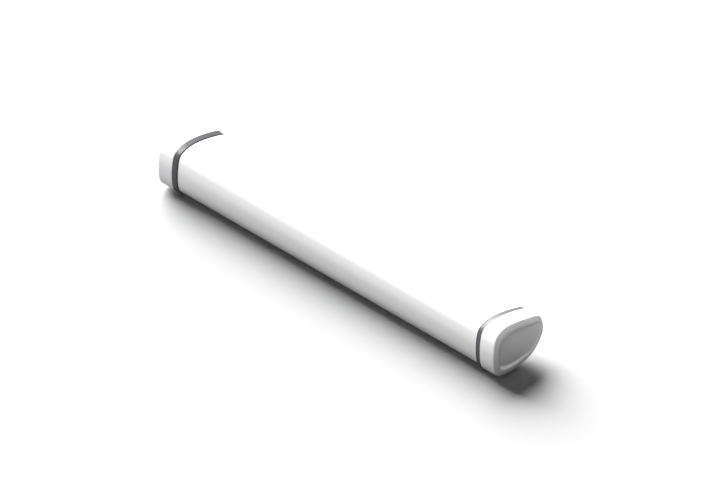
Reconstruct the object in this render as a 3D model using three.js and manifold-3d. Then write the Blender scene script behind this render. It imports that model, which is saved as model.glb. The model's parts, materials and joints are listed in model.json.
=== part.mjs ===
// Open-array radar antenna: a long radome bar with two moulded end caps, a slotted
// waveguide feeding a flared horn inside it, and a flanged seat under its centre.
// Units are millimetres. +Z is up, +X runs along the bar, -Y is the radiating front.
// The origin is the centre of the seat's flat underside, on the bar's turning axis.

import * as THREE from 'three';
import Module from 'manifold-3d';
import { mergeVertices } from 'three/addons/utils/BufferGeometryUtils.js';

const wasm = await Module();
wasm.setup();

// ---- driving dimensions ----
const HALF_LENGTH = 565;
const SECTION_Z = 75;
const FIT_GAP = 0.4;

const BODY_INSET = 4.4;
const BODY_WALL = 3;
const BODY_HALF = 535;

const SEAL_START = 502.3;
const SEAL_END = 504.5;
const BAND_START = 504.8;
const BAND_END = 518.3;
const CAP_START = 518.6;
const CAP_WALL = 2.8;
const CAP_EDGE_RADIUS = 3;
const CAP_EDGE_STEPS = 3;
const CAP_LEAN_TOP = 6;
const CAP_LEAN_FROM_Z = -5;
const CAP_LEAN_TO_Z = 63;
const CAP_LEAN_CORNER = 5.5;
const CAP_LEAN_FROM_SUM = 75;
const CAP_LEAN_TO_SUM = 117;
const PANEL_SCALE_Y = 0.83;
const PANEL_SCALE_Z = 0.72;
const PANEL_SHIFT_Y = 6;
const PANEL_SHIFT_Z = -4.5;
const PANEL_WALL_SPREAD = 0.045;
const PANEL_DEPTH_FRONT = 6;
const PANEL_DEPTH_BACK = 1.6;

const OUTLINE_POINTS = 48;

const GUIDE_Y = 12.7;
const GUIDE_Z = 6.35;
const GUIDE_WALL = 1.27;
const GUIDE_HALF = 465;
const SLOT_PITCH = 22.3;
const SLOTS_PER_SIDE = 20;
const SLOT_WIDTH = 1.6;
const SLOT_TILT_DEG = 12;

const HORN_HALF = 464;
const HORN_SHEET = 1.2;
const HORN_MOUTH_Y = -64;
const HORN_MOUTH_Z = 40.5;

const SPINE_FRONT_Y = 14;
const SPINE_BACK_Y = 56;
const SPINE_LOW_Z = -14;
const SPINE_HIGH_Z = 30;
const SPINE_WALL = 2.2;
const SPINE_HALF = 480;

const RIB_THICKNESS = 3;
const RIB_POSITIONS = [-400, -170, 170, 400];

const SEAT_HALF_X = 72;
const SEAT_HALF_Y = 48;
const SEAT_CORNER = 14;
const BOLT_X = 55;
const BOLT_Y = 33;
const BUSH_RADIUS = 7;
const BUSH_BORE = 4;
const FRONT_BUSH_TOP = 7;
const REAR_BUSH_TOP = 14.4;
const CLAMP_X = 30;
const CLAMP_Y = 33;
const CLAMP_HOLE = 3.3;
const CLAMP_TUBE_HOLE = 3.6;
const CLAMP_HEAD = 5;
const CLAMP_HEAD_POCKET = 5.6;
const CLAMP_HEAD_DEPTH = 4.6;
const SPINE_SCREW_HOLE = 2.9;
const SPINE_SCREW_X = 50;
const SPINE_SCREW_Y = 30;
const PORT_RADIUS = 13;
const FEED_RADIUS = 10;
const FEED_BORE = 8;
const FEED_BOTTOM = 9.2;
const PIN_RADIUS = 2.6;
const BARREL_BOTTOM = 16.4;
const BARREL_TOP = 39;
const RING_RADIUS = 18;
const RING_SECTION = 1.6;
const GROOVE_HALF = 2.1;
const GROOVE_DEPTH = 3.6;

// ---- cross-section of the bar: tall flat front, crowned top, narrow rounded back ----
const SECTION_KNOTS = [
  [-85.15, -9.4], [-82.55, -40.5], [-74.95, -58.5], [-55.95, -68], [-33.95, -71], [8.55, -66.7],
  [49.05, -52.5], [72.05, -28], [83.45, -5.8], [85.45, 10.5], [83.85, 26], [76.05, 40],
  [54.05, 48.6], [15.05, 58.2], [-22.35, 62.8], [-48.45, 61], [-74.35, 48.2], [-83.15, 20.1],
];
const sectionCurve = new THREE.CatmullRomCurve3(
  SECTION_KNOTS.map(([y, z]) => new THREE.Vector3(0, y, z)),
  true,
  'centripetal',
);

// One loop round the section, moved inwards by inset.
// The height of the section's centre is added last.
function sectionLoop(x, inset) {
  const loop = [];
  for (let i = 0; i < OUTLINE_POINTS; i += 1) {
    const t = i / OUTLINE_POINTS;
    const p = sectionCurve.getPointAt(t);
    const tangent = sectionCurve.getTangentAt(t);
    const y = p.y - inset * tangent.z;
    const z = p.z + inset * tangent.y;
    loop.push([x, y, z + SECTION_Z]);
  }
  return loop;
}

// A loop round a polygon given as [y, z] corners, counter-clockwise seen from +X.
function polygonLoop(x, corners) {
  return corners.map(([y, z]) => [x, y, z + SECTION_Z]);
}

function rectangle(y0, z0, y1, z1) {
  return [[y0, z0], [y1, z0], [y1, z1], [y0, z1]];
}

function geometryFrom(positions, indices) {
  const geometry = new THREE.BufferGeometry();
  geometry.setAttribute('position', new THREE.Float32BufferAttribute(positions, 3));
  geometry.setIndex(indices);
  return geometry;
}

// Skins a row of loops. A loop of one point closes the skin there; closed joins the
// last loop to the first, which makes a sleeve.
function skin(loops, closed) {
  const positions = [];
  const starts = [];
  for (const loop of loops) {
    starts.push(positions.length / 3);
    for (const point of loop) {
      positions.push(...point);
    }
  }
  const indices = [];
  const last = closed ? loops.length : loops.length - 1;
  for (let i = 0; i < last; i += 1) {
    const next = (i + 1) % loops.length;
    const near = loops[i].length;
    const far = loops[next].length;
    const count = Math.max(near, far);
    for (let j = 0; j < count; j += 1) {
      const k = (j + 1) % count;
      const a = starts[i] + (near === 1 ? 0 : j);
      const b = starts[i] + (near === 1 ? 0 : k);
      const c = starts[next] + (far === 1 ? 0 : k);
      const d = starts[next] + (far === 1 ? 0 : j);
      if (near !== 1) {
        indices.push(a, b, c);
      }
      if (far !== 1) {
        indices.push(a, c, d);
      }
    }
  }
  return geometryFrom(positions, indices);
}

// A solid prism along X whose ends are closed by a fan from the given centre.
function prism(corners, x0, x1) {
  const y = corners.reduce((sum, c) => sum + c[0], 0) / corners.length;
  const z = corners.reduce((sum, c) => sum + c[1], 0) / corners.length;
  return skin([
    [[x0, y, z + SECTION_Z]],
    polygonLoop(x0, corners),
    polygonLoop(x1, corners),
    [[x1, y, z + SECTION_Z]],
  ], false);
}

function tube(outer, inner, x0, x1) {
  return skin([
    polygonLoop(x0, outer),
    polygonLoop(x1, outer),
    polygonLoop(x1, inner),
    polygonLoop(x0, inner),
  ], true);
}

function sectionPrism(inset, x0, x1) {
  return skin([
    [[x0, 0, SECTION_Z]],
    sectionLoop(x0, inset),
    sectionLoop(x1, inset),
    [[x1, 0, SECTION_Z]],
  ], false);
}

// A solid of revolution about a vertical axis. The profile is [radius, z] from the
// bottom of the outside upwards; a radius of 0 lies on the axis.
function turned(profile, segments, x = 0, y = 0, closed = false) {
  const loops = profile.map(([r, z, hex]) => {
    if (r === 0) {
      return [[x, y, z]];
    }
    const loop = [];
    for (let i = 0; i < segments; i += 1) {
      const angle = (i * 2 * Math.PI) / segments;
      const sector = (angle % (Math.PI / 3)) - Math.PI / 6;
      const radius = hex ? r / Math.cos(sector) : r;
      loop.push([x + radius * Math.cos(angle), y + radius * Math.sin(angle), z]);
    }
    return loop;
  });
  return skin(loops, closed);
}

function box(x0, y0, z0, x1, y1, z1) {
  const geometry = new THREE.BoxGeometry(x1 - x0, y1 - y0, z1 - z0);
  geometry.translate((x0 + x1) / 2, (y0 + y1) / 2, (z0 + z1) / 2);
  return geometry;
}

function cylinder(radius, z0, z1, x, y, segments = 16) {
  return turned([[0, z0], [radius, z0], [radius, z1], [0, z1]], segments, x, y);
}

function toManifold(geometry) {
  const bare = geometry.clone();
  bare.deleteAttribute('normal');
  bare.deleteAttribute('uv');
  const merged = mergeVertices(bare, 1e-5);
  return new wasm.Manifold(new wasm.Mesh({
    numProp: 3,
    vertProperties: new Float32Array(merged.attributes.position.array),
    triVerts: new Uint32Array(merged.index.array),
  }));
}

function fromManifold(solid) {
  const mesh = solid.getMesh();
  return geometryFrom(Array.from(mesh.vertProperties), Array.from(mesh.triVerts));
}

function cut(base, tools) {
  let solid = toManifold(base);
  for (const tool of tools) {
    solid = solid.subtract(toManifold(tool));
  }
  return fromManifold(solid);
}

function mirrored(geometry) {
  const copy = geometry.clone();
  copy.scale(-1, 1, 1);
  const index = copy.index.array;
  for (let i = 0; i < index.length; i += 3) {
    const keep = index[i];
    index[i] = index[i + 1];
    index[i + 1] = keep;
  }
  return copy;
}

const antenna = new THREE.Group();
antenna.name = 'open_array_antenna';

function add(name, geometry, look) {
  const [color, roughness, metalness] = look;
  const flat = geometry.index ? geometry.toNonIndexed() : geometry;
  flat.computeVertexNormals();
  const material = new THREE.MeshStandardMaterial({ color, roughness, metalness });
  material.name = name;
  const mesh = new THREE.Mesh(flat, material);
  mesh.name = name;
  antenna.add(mesh);
}

function addPair(name, geometry, look) {
  add(`${name}_right`, geometry, look);
  add(`${name}_left`, mirrored(geometry), look);
}

// ---- finishes: colour, roughness, metalness ----
const WHITE_SHELL = [0xf1f2f2, 0.38, 0];
const WHITE_CAP = [0xeeefef, 0.42, 0];
const DARK_TRIM = [0x45464b, 0.45, 0.1];
const BLACK_RUBBER = [0x1b1b1d, 0.8, 0];
const MOULDED_GREY = [0x8d9094, 0.6, 0];
const ALUMINIUM = [0xc3c6c9, 0.35, 0.9];
const CAST_ALUMINIUM = [0xa9acb0, 0.55, 0.85];
const BRASS = [0xc5a35a, 0.3, 0.95];
const STEEL = [0x9da1a5, 0.3, 0.95];
const PTFE = [0xf7f7f3, 0.5, 0];
const FOAM = [0xe6e4da, 0.95, 0];
const ABSORBER = [0x2b2c30, 0.9, 0];

// ---- radome tube, with its floor bored for the clamp screws and the feed ----
const corners = [[1, 1], [1, -1], [-1, 1], [-1, -1]];
const floorHoles = [cylinder(FEED_RADIUS + FIT_GAP + 0.2, -5, 30, 0, 0, 24)];
for (const [sx, sy] of corners) {
  floorHoles.push(cylinder(CLAMP_TUBE_HOLE, -5, 40, sx * CLAMP_X, sy * CLAMP_Y));
}
const bodyInner = BODY_INSET + BODY_WALL;
const bodySleeve = skin([
  sectionLoop(-BODY_HALF, BODY_INSET),
  sectionLoop(BODY_HALF, BODY_INSET),
  sectionLoop(BODY_HALF, bodyInner),
  sectionLoop(-BODY_HALF, bodyInner),
], true);
add('radome_tube', cut(bodySleeve, floorHoles), WHITE_SHELL);

// ---- end cap: a deep cup with a rounded outer edge and a sunk oval panel ----
// The end leans inwards towards its top edge, most of all at the top back corner.
function share(value, low, high) {
  return Math.min(Math.max((value - low) / (high - low), 0), 1);
}
function leaned(loop) {
  return loop.map(([x, y, z]) => {
    const height = z - SECTION_Z;
    const top = share(height, CAP_LEAN_FROM_Z, CAP_LEAN_TO_Z) ** 3.5;
    const corner = share(y + height, CAP_LEAN_FROM_SUM, CAP_LEAN_TO_SUM) ** 1.2;
    return [x - CAP_LEAN_TOP * top - CAP_LEAN_CORNER * corner, y, z];
  });
}
// The panel lies deepest at the front and comes almost level with the rim at the back.
function panelDepth(y) {
  const back = Math.min((y + 64) / 128, 1.15);
  return PANEL_DEPTH_FRONT + (PANEL_DEPTH_BACK - PANEL_DEPTH_FRONT) * back;
}
function panelLoop(spread, sunk) {
  return sectionLoop(HALF_LENGTH, 0).map(([x, y, z]) => {
    const panelY = PANEL_SHIFT_Y + y * (PANEL_SCALE_Y + spread);
    const panelZ = PANEL_SHIFT_Z + (z - SECTION_Z) * (PANEL_SCALE_Z + spread);
    return [x - panelDepth(panelY) * sunk, panelY, panelZ + SECTION_Z];
  });
}
const capInner = BODY_INSET - FIT_GAP;
const capLoops = [[[HALF_LENGTH - 10, 0, SECTION_Z]]];
capLoops.push(sectionLoop(HALF_LENGTH - 10, 10));
capLoops.push(sectionLoop(HALF_LENGTH - 14, 6));
capLoops.push(sectionLoop(BODY_HALF + 1, CAP_WALL + 1.2));
capLoops.push(sectionLoop(BODY_HALF + 0.4, capInner));
capLoops.push(sectionLoop(CAP_START, capInner));
capLoops.push(sectionLoop(CAP_START, 1));
capLoops.push(sectionLoop(CAP_START + 1, 0));
for (let i = 0; i <= CAP_EDGE_STEPS; i += 1) {
  const angle = (i * Math.PI) / (2 * CAP_EDGE_STEPS);
  const x = HALF_LENGTH - CAP_EDGE_RADIUS * (1 - Math.sin(angle));
  capLoops.push(leaned(sectionLoop(x, CAP_EDGE_RADIUS * (1 - Math.cos(angle)))));
}
capLoops.push(leaned(panelLoop(PANEL_WALL_SPREAD, 0)));
capLoops.push(leaned(panelLoop(-PANEL_WALL_SPREAD, 1)));
capLoops.push([[
  HALF_LENGTH - panelDepth(PANEL_SHIFT_Y),
  PANEL_SHIFT_Y,
  SECTION_Z + PANEL_SHIFT_Z,
]]);
addPair('end_cap', skin(capLoops, false), WHITE_CAP);

// ---- trim band between cap and tube, and the seal beside it ----
const bandLoops = [
  sectionLoop(BAND_START, BODY_INSET - 0.8),
  sectionLoop(BAND_START + 0.6, BODY_INSET - 1.3),
  sectionLoop(BAND_END, 0.4),
  sectionLoop(BAND_END, capInner),
  sectionLoop(BAND_START, capInner),
];
addPair('trim_band', skin(bandLoops, true), DARK_TRIM);
const sealLoops = [
  sectionLoop(SEAL_START, BODY_INSET - 0.9),
  sectionLoop(SEAL_END, BODY_INSET - 1),
  sectionLoop(SEAL_END, capInner),
  sectionLoop(SEAL_START, capInner),
];
addPair('body_seal', skin(sealLoops, true), BLACK_RUBBER);

// ---- bulkhead: a dished plug that closes the tube behind each cap ----
const plugOuter = bodyInner + FIT_GAP;
const plugLoops = [
  [[505, 0, SECTION_Z]],
  sectionLoop(505, plugOuter),
  sectionLoop(530, plugOuter),
  sectionLoop(530, plugOuter + 3),
  sectionLoop(508, plugOuter + 3),
  [[508, 0, SECTION_Z]],
];
addPair('bulkhead', skin(plugLoops, false), MOULDED_GREY);

// ---- slotted waveguide, its shorting plates and absorber loads ----
const guideOuter = rectangle(-GUIDE_Y, -GUIDE_Z, GUIDE_Y, GUIDE_Z);
const guideInner = rectangle(
  -GUIDE_Y + GUIDE_WALL,
  -GUIDE_Z + GUIDE_WALL,
  GUIDE_Y - GUIDE_WALL,
  GUIDE_Z - GUIDE_WALL,
);
const guideCuts = [cylinder(5, SECTION_Z - 9, SECTION_Z - 3, 0, 0)];
for (let i = 0; i < SLOTS_PER_SIDE; i += 1) {
  for (const side of [-1, 1]) {
    const slot = new THREE.BoxGeometry(SLOT_WIDTH, 5, 24);
    const lean = i % 2 === 0 ? side : -side;
    const taper = 1 - (0.5 * i) / SLOTS_PER_SIDE;
    slot.rotateY(THREE.MathUtils.degToRad(SLOT_TILT_DEG * taper * lean));
    slot.translate(side * SLOT_PITCH * (i + 0.5), -GUIDE_Y, SECTION_Z);
    guideCuts.push(slot);
  }
}
const guide = tube(guideOuter, guideInner, -GUIDE_HALF, GUIDE_HALF);
add('slotted_waveguide', cut(guide, guideCuts), ALUMINIUM);

const shortPlate = prism(rectangle(-12.6, -10, 12.6, 10), GUIDE_HALF + 0.4, GUIDE_HALF + 3);
addPair('waveguide_short', shortPlate, ALUMINIUM);

const loadInset = GUIDE_WALL + FIT_GAP;
const loadEnd = rectangle(
  -GUIDE_Y + loadInset,
  -GUIDE_Z + loadInset,
  GUIDE_Y - loadInset,
  GUIDE_Z - loadInset,
);
const loadTip = rectangle(-1, -GUIDE_Z + loadInset, 1, GUIDE_Z - loadInset);
const loadLoops = [
  [[444, 0, SECTION_Z]],
  polygonLoop(444, loadTip),
  polygonLoop(458, loadEnd),
  polygonLoop(464, loadEnd),
  [[464, 0, SECTION_Z]],
];
addPair('absorber_load', skin(loadLoops, false), ABSORBER);

// ---- flared horn: two bent sheets from the waveguide's front edge to the mouth ----
const sheetLow = GUIDE_Z + FIT_GAP;
const slope = (HORN_MOUTH_Z - sheetLow) / (-GUIDE_Y - HORN_MOUTH_Y);
const thick = HORN_SHEET * Math.hypot(1, slope);
const upperSheet = [
  [HORN_MOUTH_Y, HORN_MOUTH_Z],
  [-GUIDE_Y, sheetLow],
  [GUIDE_Y, sheetLow],
  [GUIDE_Y, sheetLow + HORN_SHEET],
  [-GUIDE_Y + 0.6, sheetLow + HORN_SHEET],
  [HORN_MOUTH_Y, HORN_MOUTH_Z + thick],
];
const lowerSheet = upperSheet.map(([y, z]) => [y, -z]).reverse();

// A bent sheet's end is split into the quads between its two faces.
function sheet(profile, x0, x1) {
  const count = profile.length;
  const positions = [];
  for (const x of [x0, x1]) {
    for (const [y, z] of profile) {
      positions.push(x, y, z + SECTION_Z);
    }
  }
  const indices = [];
  for (let i = 0; i < count; i += 1) {
    const j = (i + 1) % count;
    indices.push(i, j, count + j);
    indices.push(i, count + j, count + i);
  }
  for (let i = 0; i < count / 2 - 1; i += 1) {
    const j = count - 1 - i;
    indices.push(i, j, i + 1, i + 1, j, j - 1);
    indices.push(count + i, count + i + 1, count + j);
    indices.push(count + i + 1, count + j - 1, count + j);
  }
  return geometryFrom(positions, indices);
}
const feedNotch = cylinder(11, SECTION_Z - 30, SECTION_Z - 4, 0, 0);
add('horn_sheet_upper', sheet(upperSheet, -HORN_HALF, HORN_HALF), ALUMINIUM);
add('horn_sheet_lower', cut(sheet(lowerSheet, -HORN_HALF, HORN_HALF), [feedNotch]), ALUMINIUM);

// ---- foam wedge that holds the horn open, one block each side of the centre ----
const foamBack = -GUIDE_Y - 1;
const foamFront = HORN_MOUTH_Y + 2;
const foamBackZ = sheetLow - 0.6;
const foamFrontZ = sheetLow + slope * (-GUIDE_Y - foamFront) - 0.9;
const foamProfile = [
  [foamBack, -foamBackZ],
  [foamBack, foamBackZ],
  [foamFront, foamFrontZ],
  [foamFront, -foamFrontZ],
];
addPair('horn_foam', prism(foamProfile, 3, 440), FOAM);

// ---- spine: a box extrusion behind the waveguide that keeps the bar stiff ----
const spineOuter = rectangle(SPINE_FRONT_Y, SPINE_LOW_Z, SPINE_BACK_Y, SPINE_HIGH_Z);
const spineInner = rectangle(
  SPINE_FRONT_Y + SPINE_WALL,
  SPINE_LOW_Z + SPINE_WALL,
  SPINE_BACK_Y - SPINE_WALL,
  SPINE_HIGH_Z - SPINE_WALL,
);
const spineHoles = [-1, 1].map((side) => cylinder(
  SPINE_SCREW_HOLE,
  SECTION_Z + SPINE_LOW_Z - 2,
  SECTION_Z + SPINE_LOW_Z + 5,
  side * SPINE_SCREW_X,
  SPINE_SCREW_Y,
));
add('spine', cut(tube(spineOuter, spineInner, -SPINE_HALF, SPINE_HALF), spineHoles), ALUMINIUM);

// ---- ribs: plates cut to the tube's inside that carry the spine, guide and horn ----
function rib(x) {
  const x0 = x - RIB_THICKNESS / 2;
  const x1 = x + RIB_THICKNESS / 2;
  const far = RIB_THICKNESS;
  const room = FIT_GAP;
  const guideHole = prism(
    rectangle(-GUIDE_Y - 6, -GUIDE_Z - room, GUIDE_Y + room, GUIDE_Z + room),
    x0 - far,
    x1 + far,
  );
  const sheetRoom = sheetLow + HORN_SHEET + room;
  const mouth = HORN_MOUTH_Z + thick + room + slope * 40;
  const hornHole = prism([
    [HORN_MOUTH_Y - 40, -mouth],
    [-GUIDE_Y + 1, -sheetRoom],
    [GUIDE_Y + room, -sheetRoom],
    [GUIDE_Y + room, sheetRoom],
    [-GUIDE_Y + 1, sheetRoom],
    [HORN_MOUTH_Y - 40, mouth],
  ], x0 - far, x1 + far);
  const spineHole = prism(rectangle(
    SPINE_FRONT_Y - room,
    SPINE_LOW_Z - room,
    SPINE_BACK_Y + room,
    SPINE_HIGH_Z + room,
  ), x0 - far, x1 + far);
  return cut(sectionPrism(plugOuter, x0, x1), [guideHole, hornHole, spineHole]);
}
RIB_POSITIONS.forEach((x, i) => {
  add(`rib_${i + 1}`, rib(x), MOULDED_GREY);
});

// ---- seat under the tube: flat underside, top shaped to the tube's floor ----
function roundedBlock(halfX, halfY, radius, z0, z1) {
  const loop = [];
  const centres = [[1, 1], [-1, 1], [-1, -1], [1, -1]];
  centres.forEach(([sx, sy], quarter) => {
    for (let i = 0; i <= 4; i += 1) {
      const angle = (quarter + i / 4) * (Math.PI / 2);
      const x = sx * (halfX - radius) + radius * Math.cos(angle);
      const y = sy * (halfY - radius) + radius * Math.sin(angle);
      loop.push([x, y]);
    }
  });
  const grow = (scale, z) => loop.map(([x, y]) => [x * scale, y * scale, z]);
  return skin([[[0, 0, z0]], grow(0.985, z0), grow(1, z0 + 1), grow(1, z1), [[0, 0, z1]]], false);
}
const seatTools = [sectionPrism(BODY_INSET - FIT_GAP, -200, 200)];
seatTools.push(cylinder(PORT_RADIUS, -5, 30, 0, 0, 24));
seatTools.push(turned([
  [RING_RADIUS + GROOVE_HALF, -1],
  [RING_RADIUS + GROOVE_HALF, GROOVE_DEPTH],
  [RING_RADIUS - GROOVE_HALF, GROOVE_DEPTH],
  [RING_RADIUS - GROOVE_HALF, -1],
], 24, 0, 0, true));
for (const [sx, sy] of corners) {
  const pocketTop = sy > 0 ? REAR_BUSH_TOP + FIT_GAP : 40;
  seatTools.push(cylinder(BUSH_RADIUS + FIT_GAP, -5, pocketTop, sx * BOLT_X, sy * BOLT_Y));
  seatTools.push(cylinder(CLAMP_HOLE, -5, 40, sx * CLAMP_X, sy * CLAMP_Y));
  const headPocket = cylinder(CLAMP_HEAD_POCKET, -5, CLAMP_HEAD_DEPTH, sx * CLAMP_X, sy * CLAMP_Y);
  seatTools.push(headPocket);
}
const seatBlock = roundedBlock(SEAT_HALF_X, SEAT_HALF_Y, SEAT_CORNER, 0, 45);
add('mounting_seat', cut(seatBlock, seatTools), CAST_ALUMINIUM);

const ringProfile = [];
const ringSides = 8;
for (let i = 0; i < ringSides; i += 1) {
  const angle = (i * 2 * Math.PI) / ringSides;
  const r = RING_RADIUS + RING_SECTION * Math.cos(angle);
  ringProfile.push([r, RING_SECTION + 0.1 + RING_SECTION * Math.sin(angle)]);
}
add('port_o_ring', turned(ringProfile, 24, 0, 0, true), BLACK_RUBBER);

// ---- saddle inside the tube: carries the spine and takes the clamp screws ----
const saddleTop = SECTION_Z + SPINE_LOW_Z - FIT_GAP;
const saddleBlock = toManifold(box(-66, -44, 5, 66, 48, saddleTop));
const saddleRoom = toManifold(sectionPrism(plugOuter, -200, 200));
const saddleBase = fromManifold(saddleBlock.intersect(saddleRoom));
const hornClear = 2;
const saddleTools = [
  prism([
    [HORN_MOUTH_Y, -HORN_MOUTH_Z - thick - hornClear],
    [-GUIDE_Y, -sheetLow - HORN_SHEET - hornClear],
    [-GUIDE_Y, 20],
    [HORN_MOUTH_Y, 20],
  ], -100, 100),
  box(-58, -60, 29, -17, 20, 100),
  box(17, -60, 29, 58, 20, 100),
  cylinder(10.4, -5, 100, 0, 0, 24),
];
for (const [sx, sy] of corners) {
  saddleTools.push(cylinder(CLAMP_HOLE, -5, sy > 0 ? 42 : 26, sx * CLAMP_X, sy * CLAMP_Y));
}
for (const side of [-1, 1]) {
  const low = saddleTop - 16;
  saddleTools.push(cylinder(SPINE_SCREW_HOLE, low, 100, side * SPINE_SCREW_X, SPINE_SCREW_Y));
}
add('saddle', cut(saddleBase, saddleTools), CAST_ALUMINIUM);

// ---- threaded bushes for the pedestal bolts ----
// The seat is thicker towards the back, so the rear bushes are longer.
corners.forEach(([sx, sy], i) => {
  const low = FIT_GAP;
  const high = sy > 0 ? REAR_BUSH_TOP : FRONT_BUSH_TOP;
  const bush = turned([
    [BUSH_BORE, low + 0.8],
    [BUSH_BORE + 0.8, low],
    [BUSH_RADIUS, low],
    [BUSH_RADIUS, high],
    [BUSH_BORE, high],
  ], 20, sx * BOLT_X, sy * BOLT_Y, true);
  add(`thread_bush_${i + 1}`, bush, STEEL);
});

// ---- socket-head screws ----
function socketScrew(x, y, headZ, headRadius, headHeight, radius, length, up) {
  const along = up ? 1 : -1;
  const profile = [
    [0, headZ + along * headHeight * 0.5],
    [headRadius * 0.45, headZ + along * headHeight * 0.5, true],
    [headRadius * 0.45, headZ, true],
    [headRadius * 0.9, headZ],
    [headRadius, headZ + along * 0.5],
    [headRadius, headZ + along * headHeight],
    [radius, headZ + along * headHeight],
    [radius, headZ + along * (headHeight + length - 0.6)],
    [radius - 0.6, headZ + along * (headHeight + length)],
    [0, headZ + along * (headHeight + length)],
  ];
  return turned(up ? profile : profile.reverse(), 12, x, y);
}
corners.forEach(([sx, sy], i) => {
  const clampLength = sy > 0 ? 34 : 20;
  const screw = socketScrew(sx * CLAMP_X, sy * CLAMP_Y, 0.6, CLAMP_HEAD, 3.6, 2.9, clampLength, true);
  add(`clamp_screw_${i + 1}`, screw, STEEL);
});
const headTop = SECTION_Z + SPINE_LOW_Z + SPINE_WALL + 0.3 + 4;
const spineScrew = socketScrew(SPINE_SCREW_X, SPINE_SCREW_Y, headTop, 4.4, 4, 2.5, 15, false);
addPair('spine_screw', spineScrew, STEEL);

// ---- coaxial feed from the seat's port up into the waveguide ----
const feedTop = SECTION_Z - GUIDE_Z - FIT_GAP;
add('feed_outer_tube', turned([
  [FEED_BORE, FEED_BOTTOM],
  [FEED_RADIUS, FEED_BOTTOM],
  [FEED_RADIUS, feedTop],
  [FEED_BORE, feedTop],
], 24, 0, 0, true), BRASS);
function bead(low, high) {
  const hole = PIN_RADIUS + 0.5;
  const rim = FEED_BORE - FIT_GAP;
  return turned([[hole, low], [rim, low], [rim, high], [hole, high]], 20, 0, 0, true);
}
add('feed_bead_lower', bead(10, BARREL_BOTTOM - FIT_GAP), PTFE);
add('contact_barrel', turned([
  [3.6, BARREL_BOTTOM],
  [4.9, BARREL_BOTTOM],
  [4.9, BARREL_TOP],
  [0, BARREL_TOP],
  [0, BARREL_TOP - 3],
  [3.6, BARREL_TOP - 3],
], 16, 0, 0, true), BRASS);
add('contact_pin', turned([
  [0, 3],
  [1.4, 3.4],
  [PIN_RADIUS, 5.4],
  [PIN_RADIUS, BARREL_BOTTOM],
  [3.2, BARREL_BOTTOM],
  [3.2, BARREL_BOTTOM + 3.2],
  [0, BARREL_BOTTOM + 3.2],
], 16), BRASS);
add('feed_bead_upper', bead(50, 55), PTFE);
add('feed_probe', turned([
  [0, BARREL_TOP + FIT_GAP],
  [4.4, BARREL_TOP + FIT_GAP],
  [4.4, BARREL_TOP + 2.6],
  [2.7, BARREL_TOP + 2.6],
  [2.7, 76],
  [2.1, 76.8],
  [0, 76.8],
], 16), BRASS);

// Coil between the pin's collar and the barrel's closed end.
function coil(radius, wire, z0, z1, turns) {
  const sides = 5;
  const stepsPerTurn = 10;
  const steps = turns * stepsPerTurn;
  const loops = [];
  for (let i = 0; i <= steps; i += 1) {
    const angle = (i * 2 * Math.PI) / stepsPerTurn;
    const z = z0 + ((z1 - z0) * i) / steps;
    const loop = [];
    for (let j = 0; j < sides; j += 1) {
      const turn = (-j * 2 * Math.PI) / sides;
      const r = radius + wire * Math.cos(turn);
      loop.push([r * Math.cos(angle), r * Math.sin(angle), z + wire * Math.sin(turn)]);
    }
    loops.push(loop);
  }
  const first = [[radius, 0, z0]];
  const last = [[radius, 0, z1]];
  return skin([first, ...loops, last], false);
}
const coilWire = 0.45;
const springLow = BARREL_BOTTOM + 3.2 + coilWire + FIT_GAP;
const springHigh = BARREL_TOP - 3 - coilWire - FIT_GAP;
add('contact_spring', coil(2.6, coilWire, springLow, springHigh, 5), STEEL);

export default antenna;
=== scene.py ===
import json
import math

import bmesh
import bpy
import numpy as np
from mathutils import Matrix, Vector


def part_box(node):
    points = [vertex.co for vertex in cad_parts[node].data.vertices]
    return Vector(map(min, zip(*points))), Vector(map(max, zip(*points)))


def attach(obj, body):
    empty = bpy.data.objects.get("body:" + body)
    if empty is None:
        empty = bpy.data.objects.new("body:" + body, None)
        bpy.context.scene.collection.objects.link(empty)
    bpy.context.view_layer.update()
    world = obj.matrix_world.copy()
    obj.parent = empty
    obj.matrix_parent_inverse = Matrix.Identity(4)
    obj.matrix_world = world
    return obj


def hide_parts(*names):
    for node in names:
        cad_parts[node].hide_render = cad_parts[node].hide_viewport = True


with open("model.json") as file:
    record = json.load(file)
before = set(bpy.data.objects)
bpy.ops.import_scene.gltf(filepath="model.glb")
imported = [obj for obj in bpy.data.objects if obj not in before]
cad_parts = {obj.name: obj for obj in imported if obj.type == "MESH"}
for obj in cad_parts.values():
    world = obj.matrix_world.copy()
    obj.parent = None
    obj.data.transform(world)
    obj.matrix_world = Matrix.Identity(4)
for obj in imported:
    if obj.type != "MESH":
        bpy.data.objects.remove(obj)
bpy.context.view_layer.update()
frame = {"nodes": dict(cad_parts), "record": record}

ROOT_BODY = "array"

# ---- sizes taken from the frame, in metres ----
CAP_X, END_X = [corner[0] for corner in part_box("end_cap_right")]
BAND_X0, BAND_X1 = [corner[0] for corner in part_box("trim_band_right")]
SEAL_X0, SEAL_X1 = [corner[0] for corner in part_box("body_seal_right")]
TUBE_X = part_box("radome_tube")[1][0]
SEAT_HALF_X, SEAT_HALF_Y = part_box("mounting_seat")[1][:2]

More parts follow.
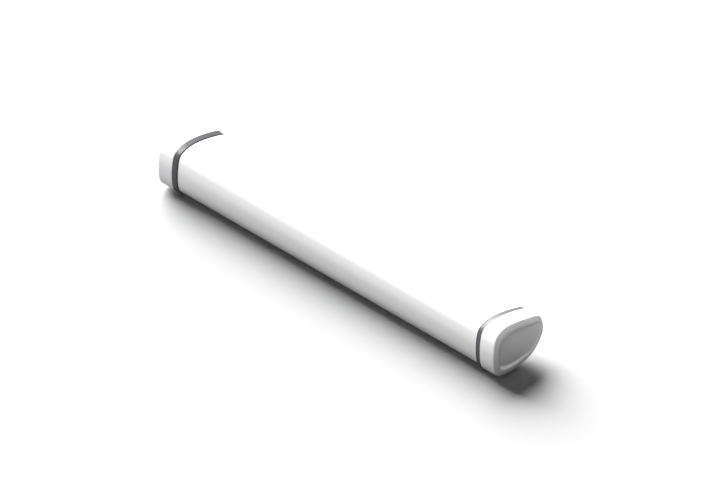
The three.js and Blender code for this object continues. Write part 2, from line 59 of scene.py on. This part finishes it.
# ---- sizes of the moulded surfaces, in metres ----
MM = 0.001
SECTION_Z = 75.0 * MM
BODY_INSET = 4.4 * MM
BODY_WALL = 3.0 * MM
SLEEVE_INSET = 4.0 * MM
CAP_EDGE_RADIUS = 3.0 * MM
CAP_LEAN_TOP = 6.0 * MM
CAP_LEAN_FROM_Z = -5.0 * MM
CAP_LEAN_TO_Z = 63.0 * MM
CAP_LEAN_TOP_POWER = 3.5
CAP_LEAN_CORNER = 5.5 * MM
CAP_LEAN_FROM_SUM = 75.0 * MM
CAP_LEAN_TO_SUM = 117.0 * MM
CAP_LEAN_CORNER_POWER = 1.2
CAP_LIP_RADIUS = 1.1 * MM
CAP_SIDE_START = 6.0 * MM
CAP_SIDE_TRIM = 8.0 * MM
CAP_SIDE_PORTIONS = (0.0, 0.25, 0.5, 0.75, 0.9)
CUP_DEPTH = 10.0 * MM
CUP_CORNER_DEPTH = 14.0 * MM
CUP_CORNER_INSET = 6.0 * MM
CUP_MOUTH_GAPS = (1.0 * MM, 0.4 * MM)
BAND_LIP = 0.6 * MM
BAND_STEP = 1.3 * MM
BAND_TOP_INSET = 0.4 * MM
BAND_SLOPE_SHARES = (0.15, 0.3, 0.5, 0.7, 0.85)
SEAL_SHOULDER = 0.2 * MM
SEAL_BEAD = 0.4 * MM
PANEL_DEPTH_FRONT = 5.0 * MM
PANEL_DEPTH_BACK = 1.6 * MM
PANEL_HALF_Y = 64.0 * MM
PANEL_BACK_LIMIT = 1.15
PANEL_SHIFT = (6.0 * MM, -4.5 * MM)
PANEL_SCALE = (0.83, 0.72)
PANEL_WALL = 0.04
PANEL_FLOOR_RISE = 3.2 * MM
PANEL_RIM_MIXES = (0.25, 0.5, 0.75)
PANEL_FLOOR_SHARES = (0.94, 0.8, 0.6, 0.4, 0.2, 0.08)
PORT_RADIUS = 13.0 * MM
FEED_HOLE_RADIUS = 10.6 * MM
BOLT_AT = (55.0 * MM, 33.0 * MM)
BUSH_POCKET_RADIUS = 7.4 * MM
REAR_POCKET_TOP = 14.8 * MM
CLAMP_AT = (30.0 * MM, 33.0 * MM)
CLAMP_RADIUS = 3.3 * MM
CLAMP_TUBE_RADIUS = 3.6 * MM
CLAMP_HEAD_RADIUS = 5.6 * MM
CLAMP_HEAD_DEPTH = 4.6 * MM
RING_RADIUS = 18.0 * MM
RING_HALF = 2.1 * MM
RING_DEPTH = 3.6 * MM
SEAT_CORNER = 14.0 * MM
SEAT_EDGE = 1.2 * MM
SEAT_RIM = 0.6 * MM
SEAT_BLOCK_TOP = 45.0 * MM
SECTION_CUT_HALF_X = 200.0 * MM
GROOVE_CUT_FROM_Z = -1.0 * MM
CUT_FROM_Z = -10.0 * MM
PORT_CUT_TO_Z = 30.0 * MM
HOLE_CUT_TO_Z = 40.0 * MM

# ---- fineness of the meshes ----
RING_POINTS = 240
TUBE_STATIONS = 41
STEPS_PER_KNOT = 40
FINEST_WAVE = 16.0
EDGE_STEPS = 12
LIP_STEPS = 6
SMALL_STEPS = 4
SHARP_ANGLE = 35

# ---- cross-section of the bar, in mm from its centre: flat front, crowned top, round back ----
SECTION_KNOTS = (
    (-85.15, -9.4), (-82.55, -40.5), (-74.95, -58.5), (-55.95, -68), (-33.95, -71), (8.55, -66.7),
    (49.05, -52.5), (72.05, -28), (83.45, -5.8), (85.45, 10.5), (83.85, 26), (76.05, 40),
    (54.05, 48.6), (15.05, 58.2), (-22.35, 62.8), (-48.45, 61), (-74.35, 48.2), (-83.15, 20.1),
)


def spline_point(p0, p1, p2, p3, share):
    """A point on the centripetal Catmull-Rom stretch between p1 and p2."""
    t0 = 0.0
    t1 = t0 + math.sqrt(np.linalg.norm(p1 - p0))
    t2 = t1 + math.sqrt(np.linalg.norm(p2 - p1))
    t3 = t2 + math.sqrt(np.linalg.norm(p3 - p2))
    t = t1 + share * (t2 - t1)
    a1 = ((t1 - t) * p0 + (t - t0) * p1) / (t1 - t0)
    a2 = ((t2 - t) * p1 + (t - t1) * p2) / (t2 - t1)
    a3 = ((t3 - t) * p2 + (t - t2) * p3) / (t3 - t2)
    b1 = ((t2 - t) * a1 + (t - t0) * a2) / (t2 - t0)
    b2 = ((t3 - t) * a2 + (t - t1) * a3) / (t3 - t1)
    return ((t2 - t) * b1 + (t - t1) * b2) / (t2 - t1)


def section_outline():
    """Points and outward normals round the section, evenly spaced, with waves finer than
    FINEST_WAVE to the turn faded out."""
    knots = [np.array(k) * MM for k in SECTION_KNOTS]
    count = len(knots)
    dense = []
    for i in range(count):
        around = [knots[(i + k) % count] for k in (-1, 0, 1, 2)]
        for step in range(STEPS_PER_KNOT):
            dense.append(spline_point(*around, step / STEPS_PER_KNOT))
    dense = np.array(dense)
    closed = np.vstack([dense, dense[:1]])
    length = np.concatenate([[0], np.cumsum(np.linalg.norm(np.diff(closed, axis=0), axis=1))])
    at = np.linspace(0, length[-1], RING_POINTS, endpoint=False)
    loop = np.interp(at, length, closed[:, 0]) + 1j * np.interp(at, length, closed[:, 1])
    spectrum = np.fft.fft(loop)
    order = np.fft.fftfreq(RING_POINTS, 1 / RING_POINTS)
    spectrum *= np.exp(-(order / FINEST_WAVE) ** 4)
    smooth = np.fft.ifft(spectrum)
    tangent = np.fft.ifft(spectrum * 1j * order)
    tangent /= np.abs(tangent)
    outward = tangent * -1j
    points = np.stack([smooth.real, smooth.imag], axis=1)
    normals = np.stack([outward.real, outward.imag], axis=1)
    return points, normals


OUTLINE, OUTWARD = section_outline()


def ring(x, inset):
    """The section's loop at x, moved inwards by inset."""
    yz = OUTLINE - inset * OUTWARD
    return [(x, y, z + SECTION_Z) for y, z in yz]


def share_between(value, low, high):
    return min(max((value - low) / (high - low), 0.0), 1.0)


def quarter_turn(steps):
    """Angles from 0 to a right angle."""
    return [math.pi / 2 * i / steps for i in range(steps + 1)]


def leaned(loop, portion=1.0):
    """The same loop leaning inwards towards its top, most of all at the top back corner."""
    out = []
    for x, y, z in loop:
        height = z - SECTION_Z
        top = share_between(height, CAP_LEAN_FROM_Z, CAP_LEAN_TO_Z) ** CAP_LEAN_TOP_POWER
        corner = share_between(y + height, CAP_LEAN_FROM_SUM, CAP_LEAN_TO_SUM)
        corner **= CAP_LEAN_CORNER_POWER
        out.append((x - portion * (CAP_LEAN_TOP * top + CAP_LEAN_CORNER * corner), y, z))
    return out


def panel_depth(y):
    """How far the panel's floor lies behind the end face: deep at the front, shallow at the back."""
    back = min(max((y + PANEL_HALF_Y) / (2 * PANEL_HALF_Y), 0.0), PANEL_BACK_LIMIT)
    return PANEL_DEPTH_FRONT + (PANEL_DEPTH_BACK - PANEL_DEPTH_FRONT) * back


def panel_ring(spread, sunk, mix=1.0):
    """A loop of the cap's oval panel. spread widens it, sunk is 0 at the rim and 1 at the floor."""
    edge = OUTLINE - CAP_EDGE_RADIUS * OUTWARD
    loop = []
    for y, z in OUTLINE:
        py = PANEL_SHIFT[0] + y * (PANEL_SCALE[0] + spread)
        pz = PANEL_SHIFT[1] + z * (PANEL_SCALE[1] + spread) + PANEL_FLOOR_RISE * sunk
        loop.append((py, pz))
    loop = np.array(loop) * mix + edge * (1 - mix)
    return [(END_X - panel_depth(y) * sunk, y, z + SECTION_Z) for y, z in loop]


def make(name, vertices, faces, smooth_angle=SHARP_ANGLE):
    mesh = bpy.data.meshes.new(name)
    mesh.from_pydata(vertices, [], faces)
    mesh.update()
    work = bmesh.new()
    work.from_mesh(mesh)
    bmesh.ops.recalc_face_normals(work, faces=work.faces)
    work.to_mesh(mesh)
    work.free()
    mesh.shade_smooth()
    obj = bpy.data.objects.new(name, mesh)
    bpy.context.collection.objects.link(obj)
    if smooth_angle:
        mesh.set_sharp_from_angle(angle=math.radians(smooth_angle))
    return obj


def loft(name, rings, closed, smooth_angle=SHARP_ANGLE):
    """Skins loops of equal count. A one-point loop closes the skin; closed joins last to first."""
    vertices = []
    starts = []
    for loop in rings:
        starts.append(len(vertices))
        vertices.extend(loop)
    faces = []
    pairs = len(rings) if closed else len(rings) - 1
    for i in range(pairs):
        nxt = (i + 1) % len(rings)
        near, far = len(rings[i]), len(rings[nxt])
        for j in range(max(near, far)):
            k = (j + 1) % max(near, far)
            if near == 1:
                corners = [starts[i], starts[nxt] + k, starts[nxt] + j]
            elif far == 1:
                corners = [starts[i] + j, starts[i] + k, starts[nxt]]
            else:
                corners = [starts[i] + j, starts[i] + k, starts[nxt] + k, starts[nxt] + j]
            faces.append(corners)
    return make(name, vertices, faces, smooth_angle)


def mirrored(rings):
    return [[(-x, y, z) for x, y, z in loop] for loop in rings]


def turned_rings(profile, segments, x=0.0, y=0.0):
    rings = []
    for radius, z in profile:
        if radius == 0:
            rings.append([(x, y, z)])
            continue
        loop = []
        for i in range(segments):
            angle = 2 * math.pi * i / segments
            loop.append((x + radius * math.cos(angle), y + radius * math.sin(angle), z))
        rings.append(loop)
    return rings


def bore(radius, low, high, x, y, segments=48):
    profile = [(0, low), (radius, low), (radius, high), (0, high)]
    return loft("cutter", turned_rings(profile, segments, x, y), False)


def cut(obj, cutters, smooth_angle=SHARP_ANGLE):
    """Subtracts the cutters from obj, then deletes them."""
    for cutter in cutters:
        modifier = obj.modifiers.new("cut", "BOOLEAN")
        modifier.operation = "DIFFERENCE"
        modifier.solver = "EXACT"
        modifier.object = cutter
    bpy.context.view_layer.update()
    graph = bpy.context.evaluated_depsgraph_get()
    result = bpy.data.meshes.new_from_object(obj.evaluated_get(graph))
    obj.modifiers.clear()
    obj.data = result
    obj.data.shade_smooth()
    obj.data.set_sharp_from_angle(angle=math.radians(smooth_angle))
    for cutter in cutters:
        bpy.data.objects.remove(cutter)
    return obj


CORNERS = ((1, 1), (1, -1), (-1, 1), (-1, -1))


def make_tube():
    stations = np.linspace(-TUBE_X, TUBE_X, TUBE_STATIONS)
    outer = [ring(x, BODY_INSET) for x in stations]
    inner = [ring(x, BODY_INSET + BODY_WALL) for x in (TUBE_X, -TUBE_X)]
    tube = loft("radome_tube_skin", outer + inner, True)
    holes = [bore(FEED_HOLE_RADIUS, CUT_FROM_Z, PORT_CUT_TO_Z, 0, 0)]
    for sx, sy in CORNERS:
        x, y = sx * CLAMP_AT[0], sy * CLAMP_AT[1]
        holes.append(bore(CLAMP_TUBE_RADIUS, CUT_FROM_Z, HOLE_CUT_TO_Z, x, y))
    return cut(tube, holes)


def cap_rings():
    """The right cap, from the bottom of its hollow round the mouth and side to the sunk panel."""
    rings = [[(END_X - CUP_DEPTH, 0, SECTION_Z)]]
    rings.append(ring(END_X - CUP_DEPTH, CUP_DEPTH))
    rings.append(ring(END_X - CUP_CORNER_DEPTH, CUP_CORNER_INSET))
    for gap in CUP_MOUTH_GAPS:
        rings.append(ring(TUBE_X + gap, SLEEVE_INSET))
    rings.append(ring(CAP_X, SLEEVE_INSET))
    for angle in quarter_turn(LIP_STEPS):
        inset = CAP_LIP_RADIUS * (1 - math.sin(angle))
        rings.append(ring(CAP_X + CAP_LIP_RADIUS * (1 - math.cos(angle)), inset))
    side_length = END_X - CAP_EDGE_RADIUS - CAP_SIDE_TRIM - CAP_X
    for portion in CAP_SIDE_PORTIONS:
        x = CAP_X + CAP_SIDE_START + side_length * portion
        rings.append(leaned(ring(x, 0), portion))
    for angle in quarter_turn(EDGE_STEPS):
        inset = CAP_EDGE_RADIUS * (1 - math.cos(angle))
        rings.append(leaned(ring(END_X - CAP_EDGE_RADIUS * (1 - math.sin(angle)), inset)))
    for mix in PANEL_RIM_MIXES:
        rings.append(leaned(panel_ring(PANEL_WALL, 0.0, mix)))
    for i in range(EDGE_STEPS + 1):
        share = i / EDGE_STEPS
        sunk = share * share * (3 - 2 * share)
        rings.append(leaned(panel_ring(PANEL_WALL * (1 - 2 * share), sunk)))
    centre_z = PANEL_SHIFT[1] + PANEL_FLOOR_RISE
    for share in PANEL_FLOOR_SHARES:
        loop = []
        for x, y, z in panel_ring(-PANEL_WALL, 1.0):
            py = PANEL_SHIFT[0] + (y - PANEL_SHIFT[0]) * share
            pz = centre_z + (z - SECTION_Z - centre_z) * share
            loop.append((END_X - panel_depth(py), py, pz + SECTION_Z))
        rings.append(leaned(loop))
    rings.append([(END_X - panel_depth(PANEL_SHIFT[0]), PANEL_SHIFT[0], SECTION_Z + centre_z)])
    return rings


def band_rings():
    """The right trim band, sloping up from the body to the cap, with both edges rounded."""
    low = BODY_INSET - BAND_STEP
    rings = []
    for angle in quarter_turn(SMALL_STEPS):
        x = BAND_X0 + BAND_LIP * (1 - math.cos(angle))
        rings.append(ring(x, low + BAND_LIP * (1 - math.sin(angle))))
    for share in BAND_SLOPE_SHARES:
        x = BAND_X0 + (BAND_X1 - BAND_X0) * share
        rings.append(ring(x, low + (BAND_TOP_INSET - low) * share))
    for angle in quarter_turn(SMALL_STEPS)[1:]:
        x = BAND_X1 - BAND_LIP * (1 - math.sin(angle))
        rings.append(ring(x, BAND_TOP_INSET + BAND_LIP * (1 - math.cos(angle))))
    rings.append(ring(BAND_X1, SLEEVE_INSET))
    rings.append(ring(BAND_X0, SLEEVE_INSET))
    return rings


def seal_rings():
    """The right body seal, a low bead."""
    rings = [ring(SEAL_X0, SLEEVE_INSET)]
    for i in range(LIP_STEPS + 1):
        angle = math.pi * i / LIP_STEPS
        x = SEAL_X0 + (SEAL_X1 - SEAL_X0) * (1 - math.cos(angle)) / 2
        rings.append(ring(x, SLEEVE_INSET - SEAL_SHOULDER - SEAL_BEAD * math.sin(angle)))
    rings.append(ring(SEAL_X1, SLEEVE_INSET))
    return rings


def rounded_rectangle(half_x, half_y, radius, z, steps=14):
    loop = []
    for quarter, (sx, sy) in enumerate(((1, 1), (-1, 1), (-1, -1), (1, -1))):
        for i in range(steps + 1):
            angle = (quarter + i / steps) * math.pi / 2
            x = sx * (half_x - radius) + radius * math.cos(angle)
            y = sy * (half_y - radius) + radius * math.sin(angle)
            loop.append((x, y, z))
    return loop


def make_seat():
    """The cast seat, cut above to the bar's section and below for the port, ring and bolts."""
    rim = SEAT_EDGE + SEAT_RIM
    flat = rounded_rectangle(SEAT_HALF_X - rim, SEAT_HALF_Y - rim, SEAT_CORNER - rim, 0)
    rings = [[(0, 0, 0)], flat]
    for angle in quarter_turn(SMALL_STEPS):
        inset = SEAT_EDGE * (1 - math.sin(angle))
        height = SEAT_EDGE * (1 - math.cos(angle))
        half_x = SEAT_HALF_X - inset
        half_y = SEAT_HALF_Y - inset
        rings.append(rounded_rectangle(half_x, half_y, SEAT_CORNER - inset, height))
    rings.append(rounded_rectangle(SEAT_HALF_X, SEAT_HALF_Y, SEAT_CORNER, SEAT_BLOCK_TOP))
    rings.append([(0, 0, SEAT_BLOCK_TOP)])
    block = loft("mounting_seat_cast", rings, False)
    above = [
        [(-SECTION_CUT_HALF_X, 0, SECTION_Z)],
        ring(-SECTION_CUT_HALF_X, SLEEVE_INSET),
        ring(SECTION_CUT_HALF_X, SLEEVE_INSET),
        [(SECTION_CUT_HALF_X, 0, SECTION_Z)],
    ]
    tools = [loft("cutter", above, False), bore(PORT_RADIUS, CUT_FROM_Z, PORT_CUT_TO_Z, 0, 0)]
    groove = [
        (RING_RADIUS + RING_HALF, GROOVE_CUT_FROM_Z), (RING_RADIUS + RING_HALF, RING_DEPTH),
        (RING_RADIUS - RING_HALF, RING_DEPTH), (RING_RADIUS - RING_HALF, GROOVE_CUT_FROM_Z),
    ]
    tools.append(loft("cutter", turned_rings(groove, 64), True))
    for sx, sy in CORNERS:
        pocket_top = REAR_POCKET_TOP if sy > 0 else HOLE_CUT_TO_Z
        x, y = sx * BOLT_AT[0], sy * BOLT_AT[1]
        tools.append(bore(BUSH_POCKET_RADIUS, CUT_FROM_Z, pocket_top, x, y))
        x, y = sx * CLAMP_AT[0], sy * CLAMP_AT[1]
        tools.append(bore(CLAMP_RADIUS, CUT_FROM_Z, HOLE_CUT_TO_Z, x, y))
        tools.append(bore(CLAMP_HEAD_RADIUS, CUT_FROM_Z, CLAMP_HEAD_DEPTH, x, y))
    return cut(block, tools)


# ---- materials ----
COAT_ROUGHNESS = 0.12
NOISE_LOW = 0.3
NOISE_HIGH = 0.7
ROUGHNESS_SWING = 0.12
# Pointiness range and colour lift of the painted edge highlight: sharp convex edges are drawn
# lighter, as if catching light.
HIGHLIGHT_FROM_POINTINESS = 0.52
HIGHLIGHT_TO_POINTINESS = 0.62
HIGHLIGHT_GAIN = 1.6
HIGHLIGHT_LIFT = 0.04


def moulded(name, color, roughness, grain, depth, shade=0.02, edge_highlight=0.0, metallic=0.0, coat=0.0,
            stretch=(1, 1, 1), mottle=9.0, shine=0.5):
    """A surface with fine grain in bump, slow mottling in colour, uneven roughness and an optional
    painted highlight that lightens sharp convex edges.
    """
    material = bpy.data.materials.new(name)
    material.use_nodes = True
    nodes = material.node_tree.nodes
    links = material.node_tree.links
    shader = nodes["Principled BSDF"]
    shader.inputs["Metallic"].default_value = metallic
    shader.inputs["Coat Weight"].default_value = coat
    shader.inputs["Specular IOR Level"].default_value = shine
    shader.inputs["Coat Roughness"].default_value = COAT_ROUGHNESS
    place = nodes.new("ShaderNodeTexCoord")
    spread = nodes.new("ShaderNodeMapping")
    spread.inputs["Scale"].default_value = stretch
    links.new(place.outputs["Object"], spread.inputs["Vector"])

    def noise(scale, detail):
        texture = nodes.new("ShaderNodeTexNoise")
        texture.inputs["Scale"].default_value = scale
        texture.inputs["Detail"].default_value = detail
        links.new(spread.outputs["Vector"], texture.inputs["Vector"])
        return texture.outputs["Fac"]

    tones = (
        (NOISE_LOW, tuple(c * (1 - shade) for c in color)),
        (NOISE_HIGH, tuple(min(c * (1 + shade), 1) for c in color)),
    )
    slow = noise(mottle, detail=6.0)
    tone = nodes.new("ShaderNodeValToRGB")
    for element, (position, rgb) in zip(tone.color_ramp.elements, tones):
        element.position = position
        element.color = rgb + (1,)
    links.new(slow, tone.inputs["Fac"])
    painted = tone.outputs["Color"]

    # Painted highlight: sharp convex edges are lightened in the base colour, standing in for light
    # catching them.
    if edge_highlight:
        edges = nodes.new("ShaderNodeNewGeometry")
        highlight_share = nodes.new("ShaderNodeMapRange")
        highlight_share.inputs["From Min"].default_value = HIGHLIGHT_FROM_POINTINESS
        highlight_share.inputs["From Max"].default_value = HIGHLIGHT_TO_POINTINESS
        highlight_share.inputs["To Max"].default_value = edge_highlight
        links.new(edges.outputs["Pointiness"], highlight_share.inputs["Value"])
        blend = nodes.new("ShaderNodeMix")
        blend.data_type = "RGBA"
        highlight_color = tuple(min(c * HIGHLIGHT_GAIN + HIGHLIGHT_LIFT, 1) for c in color) + (1,)
        blend.inputs["B"].default_value = highlight_color
        links.new(highlight_share.outputs["Result"], blend.inputs["Factor"])
        links.new(painted, blend.inputs["A"])
        painted = blend.outputs["Result"]
    links.new(painted, shader.inputs["Base Color"])

    uneven = noise(mottle * 5, detail=4.0)
    gloss = nodes.new("ShaderNodeMapRange")
    gloss.inputs["From Min"].default_value = NOISE_LOW
    gloss.inputs["From Max"].default_value = NOISE_HIGH
    gloss.inputs["To Min"].default_value = roughness * (1 - ROUGHNESS_SWING)
    gloss.inputs["To Max"].default_value = min(roughness * (1 + ROUGHNESS_SWING), 1.0)
    links.new(uneven, gloss.inputs["Value"])
    links.new(gloss.outputs["Result"], shader.inputs["Roughness"])

    fine = noise(grain, detail=3.0)
    bump = nodes.new("ShaderNodeBump")
    bump.inputs["Strength"].default_value = 1.0
    bump.inputs["Distance"].default_value = depth
    links.new(fine, bump.inputs["Height"])
    links.new(bump.outputs["Normal"], shader.inputs["Normal"])
    return material


# dark_trim, moulded_grey and steel carry the painted edge highlight on their sharp edges.
LOOKS = {
    "white_shell": moulded("white_shell", (0.80, 0.80, 0.805), roughness=0.34, grain=420,
                           depth=0.00002, shade=0.008, coat=0.15),
    "white_cap": moulded("white_cap", (0.78, 0.78, 0.78), roughness=0.42, grain=900,
                         depth=0.00003, shade=0.01),
    "dark_trim": moulded("dark_trim", (0.078, 0.077, 0.084), roughness=0.42, grain=1400,
                         depth=0.00004, shade=0.06, edge_highlight=0.25),
    "black_rubber": moulded("black_rubber", (0.012, 0.012, 0.013), roughness=0.85, grain=2200,
                            depth=0.00005, shade=0.15, shine=0.15),
    "moulded_grey": moulded("moulded_grey", (0.24, 0.25, 0.26), roughness=0.55, grain=1600,
                            depth=0.00006, shade=0.06, edge_highlight=0.2),
    "aluminium": moulded("aluminium", (0.62, 0.63, 0.64), roughness=0.34, grain=900,
                         depth=0.00004, shade=0.05, metallic=1.0, stretch=(0.04, 1, 1), mottle=30),
    "cast_aluminium": moulded("cast_aluminium", (0.47, 0.475, 0.48), roughness=0.55, grain=1100,
                              depth=0.00012, shade=0.08, metallic=1.0, mottle=40),
    "brass": moulded("brass", (0.72, 0.53, 0.24), roughness=0.28, grain=1800,
                     depth=0.00003, shade=0.06, metallic=1.0, stretch=(1, 1, 8), mottle=60),
    "steel": moulded("steel", (0.52, 0.53, 0.54), roughness=0.3, grain=2000,
                     depth=0.00003, shade=0.05, edge_highlight=0.3, metallic=1.0, mottle=80),
    "ptfe": moulded("ptfe", (0.82, 0.82, 0.79), roughness=0.45, grain=1500,
                    depth=0.00003, shade=0.02, mottle=60),
    "foam": moulded("foam", (0.76, 0.74, 0.66), roughness=0.95, grain=500,
                    depth=0.0005, shade=0.05, mottle=60),
    "absorber": moulded("absorber", (0.03, 0.03, 0.034), roughness=0.85, grain=900,
                        depth=0.0002, shade=0.2, mottle=60),
}


def dress(obj, look):
    obj.data.materials.clear()
    obj.data.materials.append(LOOKS[look])


def place_piece(obj, look, node, body=ROOT_BODY):
    dress(obj, look)
    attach(obj, body)
    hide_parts(node)


# ---- CAD nodes keep their shape and get the finished materials ----
for entry in frame["record"]["subparts"]:
    node = frame["nodes"][entry["node"]]
    for socket in node.material_slots:
        socket.material = LOOKS[entry["material_slot"]]

# ---- fine pieces over their CAD nodes ----
place_piece(make_tube(), "white_shell", "radome_tube")
place_piece(make_seat(), "cast_aluminium", "mounting_seat")
for side, flip in (("right", False), ("left", True)):
    for stem, rings, closed, look in (
        ("end_cap", cap_rings(), False, "white_cap"),
        ("trim_band", band_rings(), True, "dark_trim"),
        ("body_seal", seal_rings(), True, "black_rubber"),
    ):
        loops = mirrored(rings) if flip else rings
        piece = loft(f"{stem}_{side}_skin", loops, closed)
        place_piece(piece, look, f"{stem}_{side}")

# ---- floor, light and camera ----
FLOOR_HALF = 12.0
FLOOR_Z = -0.3 * MM
floor = make("floor", [
    (-FLOOR_HALF, -FLOOR_HALF, FLOOR_Z), (FLOOR_HALF, -FLOOR_HALF, FLOOR_Z),
    (FLOOR_HALF, FLOOR_HALF, FLOOR_Z), (-FLOOR_HALF, FLOOR_HALF, FLOOR_Z),
], [(0, 1, 2, 3)], 0)
paper = moulded("floor_paper", (0.5, 0.5, 0.5), roughness=0.9, grain=300, depth=0.00002, shade=0.0)
floor.data.materials.append(paper)

# The paper looks white to the camera but throws less light back onto the bar.
FLOOR_SEEN = (0.85, 0.85, 0.85, 1)
FLOOR_BOUNCE = (0.54, 0.54, 0.54, 1)
path = paper.node_tree.nodes.new("ShaderNodeLightPath")
choice = paper.node_tree.nodes.new("ShaderNodeMix")
choice.data_type = "RGBA"
choice.inputs["A"].default_value = FLOOR_BOUNCE
choice.inputs["B"].default_value = FLOOR_SEEN
paper.node_tree.links.new(path.outputs["Is Camera Ray"], choice.inputs["Factor"])
paper_color = paper.node_tree.nodes["Principled BSDF"].inputs["Base Color"]
paper.node_tree.links.new(choice.outputs["Result"], paper_color)

WORLD_STRENGTH = 0.06
scene = bpy.context.scene
world = bpy.data.worlds.new("studio")
world.use_nodes = True
background = world.node_tree.nodes["Background"]
background.inputs["Color"].default_value = (1, 1, 1, 1)
background.inputs["Strength"].default_value = WORLD_STRENGTH
scene.world = world

# The floor is left out of what the top light reaches, so the bar's shadow stays deep.
off_floor = bpy.data.collections.new("off_floor")
off_floor.objects.link(floor)
off_floor.collection_objects[0].light_linking.link_state = "EXCLUDE"


def sun(name, toward, strength, spread_deg, on_floor=True):
    """A distant soft light. One kept off the floor doesn't light it and doesn't bounce either."""
    light = bpy.data.lights.new(name, "SUN")
    light.energy = strength
    light.angle = math.radians(spread_deg)
    obj = bpy.data.objects.new(name, light)
    obj.rotation_euler = Vector(toward).to_track_quat("Z", "Y").to_euler()
    bpy.context.collection.objects.link(obj)
    if not on_floor:
        obj.light_linking.receiver_collection = off_floor
        light.cycles.max_bounces = 0


sun("key", toward=(-0.78, 0.28, 0.56), strength=6.5, spread_deg=50)
sun("top", toward=(-0.12, -0.17, 0.98), strength=6.3, spread_deg=40, on_floor=False)

scene.view_settings.view_transform = "Standard"
scene.view_settings.look = "None"

FRAME_WIDTH = 1.6887
AIM_RIGHT = 8.7 * MM
AIM_DOWN = 9.1 * MM
CAMERA_DISTANCE = 4.0
CAMERA_CLIP = 40.0
camera_data = bpy.data.cameras.new("camera")
camera_data.type = "ORTHO"
camera_data.ortho_scale = FRAME_WIDTH
camera_data.clip_end = CAMERA_CLIP
camera = bpy.data.objects.new("camera", camera_data)
bpy.context.collection.objects.link(camera)
AZIMUTH = math.radians(45)
ELEVATION = math.atan(math.sqrt(0.5))
away = Vector((
    math.sin(AZIMUTH) * math.cos(ELEVATION),
    -math.cos(AZIMUTH) * math.cos(ELEVATION),
    math.sin(ELEVATION),
))
rotation = away.to_track_quat("Z", "Y")
right = rotation @ Vector((1, 0, 0))
up = rotation @ Vector((0, 1, 0))
target = Vector((0, 0, SECTION_Z)) + right * AIM_RIGHT - up * AIM_DOWN
camera.location = target + away * CAMERA_DISTANCE
camera.rotation_euler = rotation.to_euler()
scene.camera = camera
